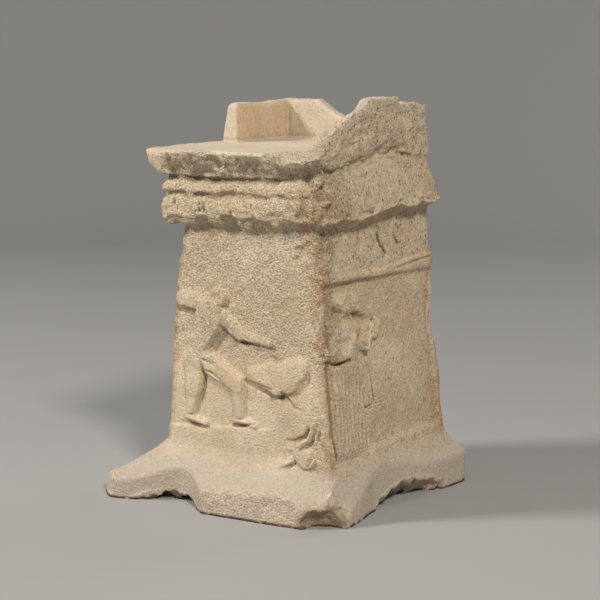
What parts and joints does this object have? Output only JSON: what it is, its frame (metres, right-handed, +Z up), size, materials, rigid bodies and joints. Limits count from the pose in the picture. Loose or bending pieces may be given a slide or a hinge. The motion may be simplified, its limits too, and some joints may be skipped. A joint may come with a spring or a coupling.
{
  "type": "limestone altar",
  "caption": "Small square limestone altar with a flared plinth, reliefs on two faces and an open tray behind a broken cornice slab.",
  "frame": {"origin": "on the flat underside, where the axis of the shaft meets the ground", "axes": "+Z up along the shaft, -Y out of the face with the hunter, +X out of the face with the draped figure"},
  "size_m": [0.2015, 0.2021, 0.2911],
  "materials": {
    "limestone": "matt, worn and finely pitted pale limestone"
  },
  "bodies": {
    "root": {"limestone_altar": "limestone"}
  },
  "joints": []
}
